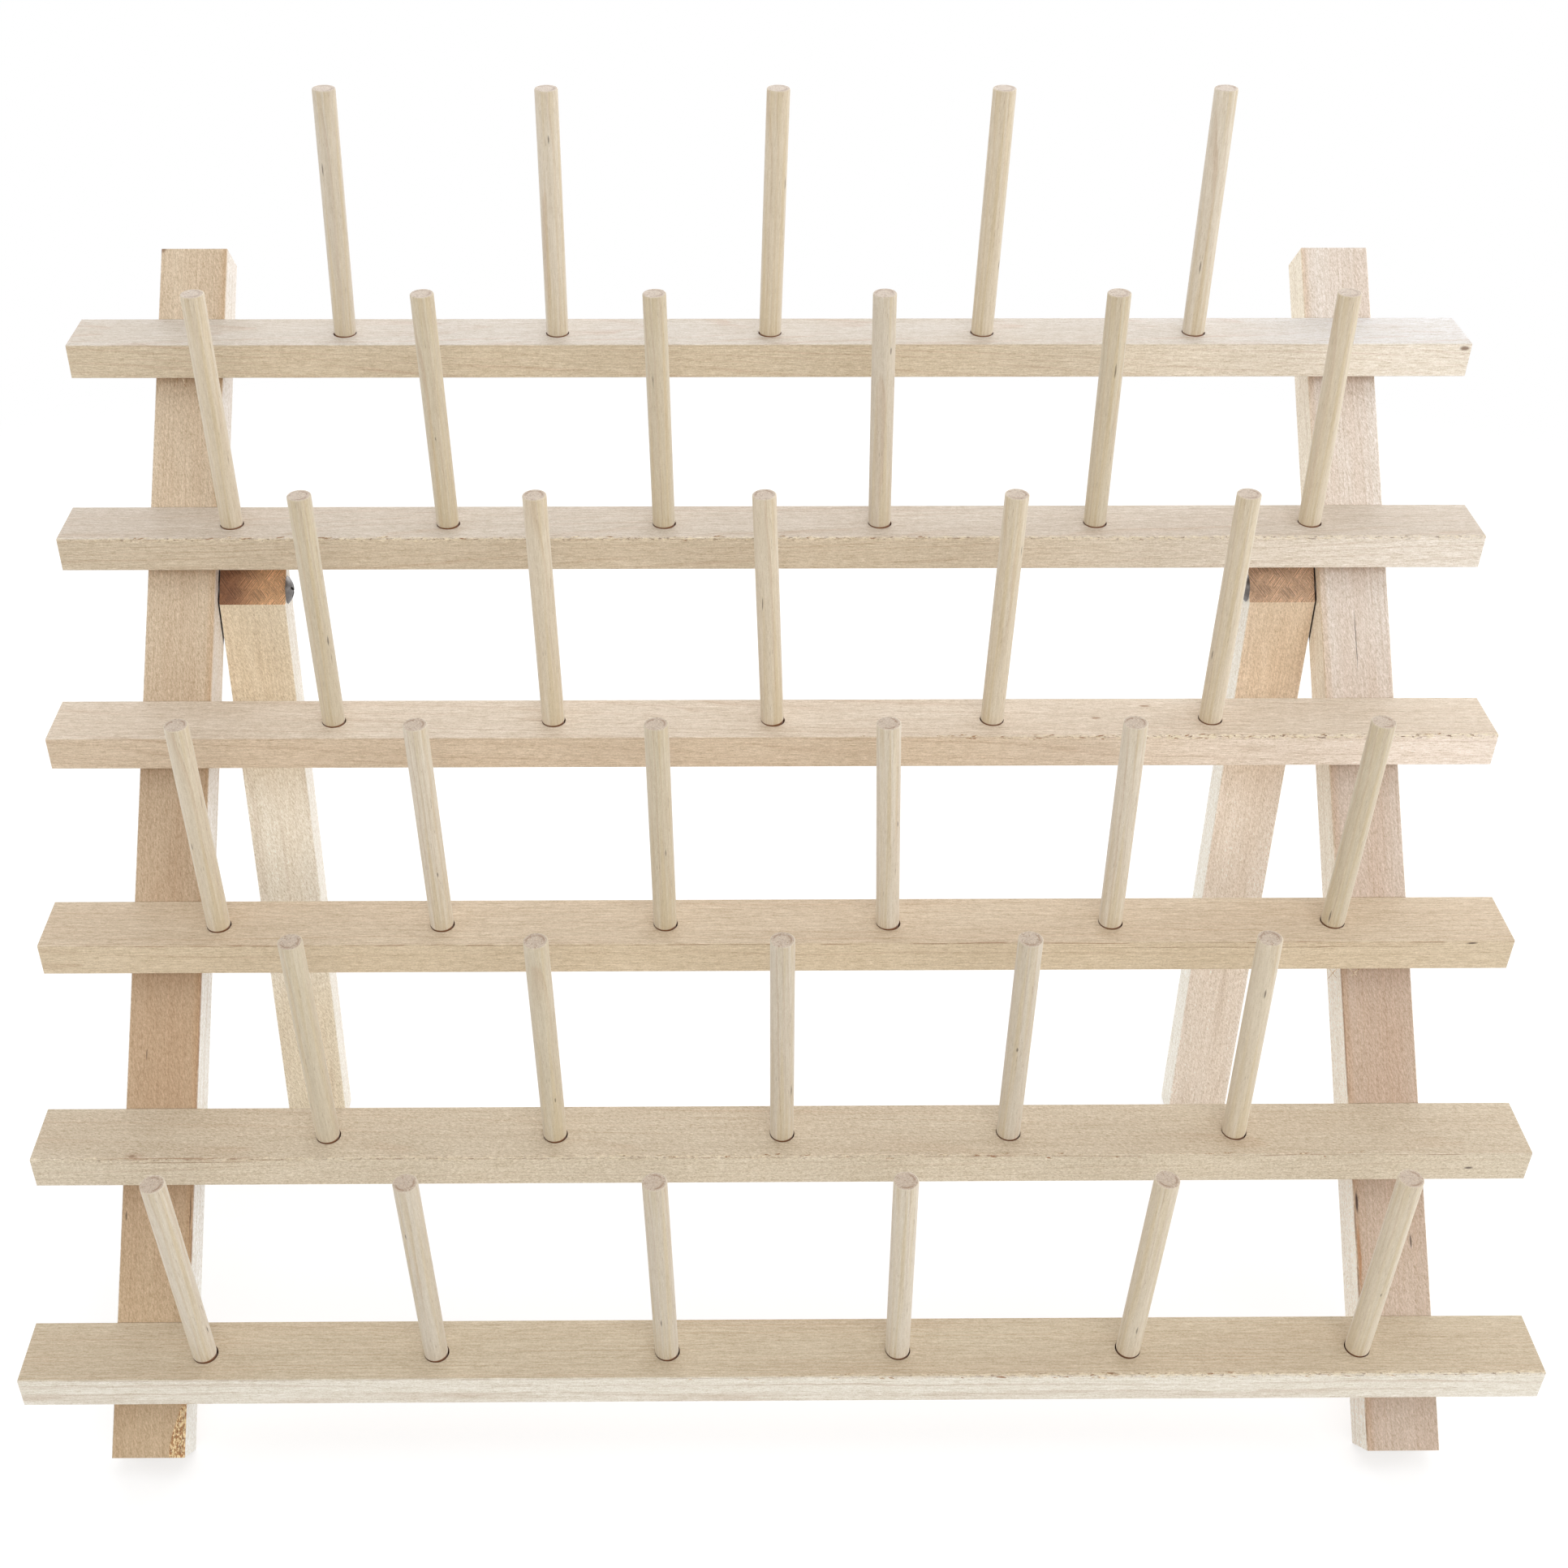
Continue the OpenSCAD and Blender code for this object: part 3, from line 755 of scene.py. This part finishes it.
def finish_peg(name, chance):
    """One peg's wood, with its own turn, tone, rings and crack."""
    along = Vector(MOUNTS[name]["axis"])
    turn = chance.uniform(0, math.pi)
    across = along.cross(Vector((math.cos(turn), math.sin(turn), 0))).normalized()
    where = Place(name, along, across)
    pale, brown = chance.choice(PEG_TONES)
    drawn = (chance.uniform(*PEG_CRACK_HEIGHTS), chance.uniform(*PEG_CRACK_ANGLES))
    height, angle = PEG_CRACKS.get(name, drawn)
    round_from_front = math.radians(angle)
    outward = math.sin(round_from_front) * RIGHT - math.cos(round_from_front) * RAIL_BACK
    crack = where.turn @ (height * along + PEG_RADIUS * outward)
    look = Look(
        pale=pale, brown=brown, side=pale, end=PEG_END, **SMOOTH,
        ring_centre=(chance.uniform(*PEG_PITH_ACROSS), chance.uniform(*PEG_PITH_THROUGH)),
        ring_spacing=chance.uniform(*PEG_RING_SPACINGS), run_out=chance.uniform(*PEG_RUN_OUTS),
        marks=((tuple(crack), (chance.uniform(*PEG_CRACK_LENGTHS), *PEG_CRACK_SECTION), CRACK, 0.7),),
    )
    shoulder = (PEG_SEAT - MOUNTS[name]["dims"]["length_mm"] - PEG_BREAK) / 2
    finish_node(name, wood(name + "_wood", where, look, dowel_stripes(shoulder), dowel_end))


def finish_wood():
    """Every wooden piece's material, each in the piece's own frame."""
    for row in range(1, ROWS + 1):
        name = f"rail_{row}"
        edge = front_edge(EDGE_LINES[row - 1], *TORN_EDGES.get(row, ()))
        where = Place(name, RIGHT, RAIL_BACK)
        finish_node(name, wood(name + "_wood", where, RAIL_LOOKS[row - 1], edge, bored_end))
    for side in SIDES:
        name = f"{side}_upright"
        where = Place(name, UPRIGHT_UP, RIGHT)
        detail = upright_detail(where, side)
        finish_node(name, wood(name + "_wood", where, UPRIGHT_LOOKS[side], detail))
        name = f"{side}_leg"
        burnt = mitre(MITRE_BURNS[side])
        where = Place(name, LEG_UP, RIGHT)
        finish_node(name, wood(name + "_wood", where, LEG_LOOKS[side], None, burnt))
    chance = random.Random(PEG_SEED)
    for name in sorted(node for node in frame["nodes"] if node.startswith("peg_")):
        finish_peg(name, chance)


# A flake's sections: their places along it, and their girths and heights as shares of its width
SLIVER_SHAPE = ((0.0, 0.25, -0.3), (0.3, 1.0, 0.25), (0.7, 0.8, 0.6), (1.0, 0.15, 0.9))
# Flakes on a badly torn edge and on the torn foot
EDGE_SLIVERS = 70
FOOT_SLIVERS = 44
# The last flake's place along a rail, and how deep the flakes' roots sit, in millimetres
LAST_SLIVER = 250
SLIVER_SINK = 0.05
SLIVER_LENGTHS = (1.2, 4.5)
SLIVER_WIDTHS = (0.2, 0.5)
FOOT_SLIVER_LENGTHS = (1.0, 2.8)
FOOT_SLIVER_WIDTHS = (0.15, 0.32)
# Long fibres that hang from a rail's lower front edge: the row, the place along it, and their lean
WHISKERS = ((1, -215.4, -0.5), (1, -213.9, 0.3), (4, 192, 0.9), (4, 195, -0.8), (4, 199, 1.2), (4, 203, -1.1))
WHISKER_LENGTHS = (3.5, 5.5)
WHISKER_WIDTH = 0.3
WHISKER_RISE = 0.4
TORN_EDGE_SEED = 7
WHISKER_SEED = 5
TORN_FOOT_SEED = 11


def add_sliver(mesh, root, along, outward, length, width):
    """A thin flake, widest in its middle, lying along one direction and standing out a little."""
    sideways = along.cross(outward).normalized()
    rings = []
    for share, girth, lift in SLIVER_SHAPE:
        middle = root + along * (share - 0.5) * length + outward * lift * width
        reach = girth * width / 2
        corners = (outward * reach, sideways * reach - outward * reach, -sideways * reach - outward * reach)
        rings.append([mesh.verts.new(middle + corner) for corner in corners])
    for low, high in zip(rings, rings[1:]):
        for corner in range(3):
            following = (corner + 1) % 3
            mesh.faces.new((low[corner], low[following], high[following], high[corner]))
    mesh.faces.new(rings[0][::-1])
    mesh.faces.new(rings[-1])


def make_torn_piece(name, slivers, material):
    """One piece of the scene from a list of flakes."""
    mesh = bmesh.new()
    for sliver in slivers:
        add_sliver(mesh, *sliver)
    bmesh.ops.recalc_face_normals(mesh, faces=mesh.faces)
    data = bpy.data.meshes.new(name)
    mesh.to_mesh(data)
    mesh.free()
    data.materials.append(material)
    piece = bpy.data.objects.new(name, data)
    bpy.context.scene.collection.objects.link(piece)
    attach(piece, "rack")


def torn_fibre():
    """Fresh pale fibres that stand out of the torn wood."""
    material, graph, shader = new_material("torn_fibre")
    tone = graph.noise(graph.millimetres(), TORN_TONE_GRAIN, 3.0, 0.7)
    graph.feed(shader.inputs["Base Color"], graph.mix(graph.band(tone, 0.4, 0.62), STREAK, FUZZ))
    graph.feed(shader.inputs["Roughness"], graph.band(tone, 0.3, 0.7, 0.6, 0.8))
    return material


def make_torn_edges(material):
    """Flakes along the torn front edges of four rails."""
    chance = random.Random(TORN_EDGE_SEED)
    for row, (start, full, strength) in TORN_EDGES.items():
        low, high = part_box(f"rail_{row}")
        middle = (low + high) / 2
        slivers = []
        for _ in range(int(EDGE_SLIVERS * strength)):
            nearest = max(min(start, full), -LAST_SLIVER)
            thickest = min(max(full, -LAST_SLIVER), LAST_SLIVER)
            place = chance.triangular(nearest, LAST_SLIVER, thickest)
            on_top = chance.random() < 0.5
            outward = RAIL_UP if on_top else -RAIL_BACK
            inward = chance.uniform(0.1, 1.1)
            depth = RAIL_HALF_DEPTH - (inward if on_top else SLIVER_SINK)
            rise = RAIL_HALF_THICKNESS - (SLIVER_SINK if on_top else inward)
            root = middle + (place * RIGHT - depth * RAIL_BACK + rise * RAIL_UP) / MILLIMETRES
            slant = chance.uniform(-0.25, 0.25)
            along = (RIGHT + slant * (RAIL_BACK if on_top else RAIL_UP)).normalized()
            length = chance.uniform(*SLIVER_LENGTHS) / MILLIMETRES
            width = chance.uniform(*SLIVER_WIDTHS) / MILLIMETRES
            slivers.append((root, along, outward, length, width))
        make_torn_piece(f"rail_{row}_torn_edge", slivers, material)


def make_whiskers(material):
    """Long loose fibres under two rails."""
    chance = random.Random(WHISKER_SEED)
    for row in sorted({whisker[0] for whisker in WHISKERS}):
        low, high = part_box(f"rail_{row}")
        middle = (low + high) / 2
        slivers = []
        for _, place, lean in (whisker for whisker in WHISKERS if whisker[0] == row):
            length = chance.uniform(*WHISKER_LENGTHS)
            along = (lean * RIGHT - RAIL_UP - 0.3 * RAIL_BACK).normalized()
            drop = RAIL_HALF_THICKNESS - WHISKER_RISE
            root = middle + (place * RIGHT - RAIL_HALF_DEPTH * RAIL_BACK - drop * RAIL_UP) / MILLIMETRES
            root += along * 0.45 * length / MILLIMETRES
            slivers.append((root, along, -RAIL_BACK, length / MILLIMETRES, WHISKER_WIDTH / MILLIMETRES))
        make_torn_piece(f"rail_{row}_whiskers", slivers, material)


def make_torn_foot(material):
    """Fibres that stand out of the torn corner of the left upright's foot."""
    chance = random.Random(TORN_FOOT_SEED)
    low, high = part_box("left_upright")
    middle = (low + high) / 2
    slivers = []
    for _ in range(FOOT_SLIVERS):
        from_floor = chance.uniform(1.5, SPLIT_HEIGHT - 4)
        torn_width = SPLIT_WIDTH * (1 - from_floor / SPLIT_HEIGHT)
        across = UPRIGHT_HALF_WIDTH - chance.uniform(0.3, max(torn_width, 0.8))
        rise = from_floor - UPRIGHT_HALF_LENGTH
        root = middle + (rise * UPRIGHT_UP + across * RIGHT + UPRIGHT_FRONT * UPRIGHT_BACK) / MILLIMETRES
        along = (UPRIGHT_UP + chance.uniform(-0.7, 0.7) * RIGHT).normalized()
        length = chance.uniform(*FOOT_SLIVER_LENGTHS) / MILLIMETRES
        width = chance.uniform(*FOOT_SLIVER_WIDTHS) / MILLIMETRES
        slivers.append((root, along, -UPRIGHT_BACK, length, width))
    make_torn_piece("left_upright_torn_foot", slivers, material)


def finish_steel():
    """Dark hinge screws and washers, and plain rail screws."""
    dark = steel("hinge_steel", colour(122, 118, 116), 0.36)
    plain = steel("zinc_steel", colour(190, 190, 194), 0.34)
    for side in SIDES:
        finish_node(f"{side}_hinge_screw", dark)
        finish_node(f"{side}_hinge_washer", dark)
        finish_node(f"{side}_rail_screws", plain)


# The floor, in metres, and the colours that light the rack and that the camera sees
FLOOR_HALF = 8.0
FLOOR_COLOUR = (0.8, 0.8, 0.79, 1.0)
FLOOR_SHOWN = (0.42, 0.42, 0.42, 1.0)
FLOOR_GLOW = 0.66
# From here to here the floor that is seen turns from shaded to plain white
SHADOW_REACH = (0.7, 1.2)
AMBIENT = 0.42
# Each lamp's place, width, height and power. All of them face the rack's middle
LAMP_TARGET = Vector((0, 0, 0.2))
LAMPS = {
    "back_panel": ((0.2, 2.0, 1.1), 3.4, 1.5, 34),
    "top_panel": ((0.3, 0.0, 1.9), 1.8, 1.6, 8),
    "front_panel": ((0.5, -1.9, 1.2), 1.8, 1.2, 18.5),
    "right_panel": ((1.9, 0.1, 0.7), 1.2, 1.4, 13),
    "left_panel": ((-1.9, 0.1, 0.7), 1.2, 1.4, 10),
}


def seen_share(graph):
    """1 for what the camera, a gloss or a glass sees, and 0 for what lights a dull surface."""
    path = graph.node("LightPath")
    seen = graph.math("MAXIMUM", path.outputs["Is Camera Ray"], path.outputs["Is Glossy Ray"])
    return graph.math("MAXIMUM", seen, path.outputs["Is Transmission Ray"])


def make_floor():
    """A pale floor that keeps the rack's shadow and turns white farther out."""
    mesh = bpy.data.meshes.new("floor")
    corners = [(x * FLOOR_HALF, y * FLOOR_HALF, 0) for x, y in ((-1, -1), (1, -1), (1, 1), (-1, 1))]
    mesh.from_pydata(corners, [], [(0, 1, 2, 3)])
    floor = bpy.data.objects.new("floor", mesh)
    bpy.context.scene.collection.objects.link(floor)
    material, graph, _ = new_material("floor")
    graph.tree.nodes.clear()
    plain = graph.node("BsdfDiffuse", {"Color": FLOOR_COLOUR}).outputs[0]
    shaded = graph.node("BsdfDiffuse", {"Color": FLOOR_SHOWN}).outputs[0]
    glow = graph.node("Emission", {"Strength": FLOOR_GLOW}).outputs[0]
    near = graph.node("AddShader", {0: shaded, 1: glow}).outputs[0]
    white = graph.node("Emission", {"Strength": 1.0}).outputs[0]
    distance = graph.vector("LENGTH", graph.node("TexCoord").outputs["Object"])
    shown = graph.node("MixShader", {0: graph.band(distance, *SHADOW_REACH), 1: near, 2: white}).outputs[0]
    both = graph.node("MixShader", {0: seen_share(graph), 1: plain, 2: shown}).outputs[0]
    graph.node("OutputMaterial", {"Surface": both})
    mesh.materials.append(material)


def make_world():
    """Even light from all sides, and a white background."""
    world = bpy.data.worlds.new("studio")
    bpy.context.scene.world = world
    world.use_nodes = True
    graph = Graph(world.node_tree)
    graph.tree.nodes.clear()
    ambient = graph.node("Background", {"Color": WHITE, "Strength": AMBIENT}).outputs[0]
    white = graph.node("Background", {"Color": WHITE, "Strength": 1.0}).outputs[0]
    both = graph.node("MixShader", {0: seen_share(graph), 1: ambient, 2: white}).outputs[0]
    graph.node("OutputWorld", {"Surface": both})


def make_lamps():
    """Large soft lamps that the camera doesn't see."""
    for name, (place, width, height, power) in LAMPS.items():
        data = bpy.data.lights.new(name, "AREA")
        data.shape = "RECTANGLE"
        data.size = width
        data.size_y = height
        data.energy = power
        lamp = bpy.data.objects.new(name, data)
        lamp.visible_camera = False
        lamp.location = place
        lamp.rotation_euler = (LAMP_TARGET - Vector(place)).to_track_quat("-Z", "Y").to_euler()
        bpy.context.scene.collection.objects.link(lamp)


bpy.context.scene.view_settings.view_transform = "Standard"
make_camera()
make_floor()
make_world()
make_lamps()
finish_wood()
finish_steel()
fibre_material = torn_fibre()
make_torn_edges(fibre_material)
make_whiskers(fibre_material)
make_torn_foot(fibre_material)
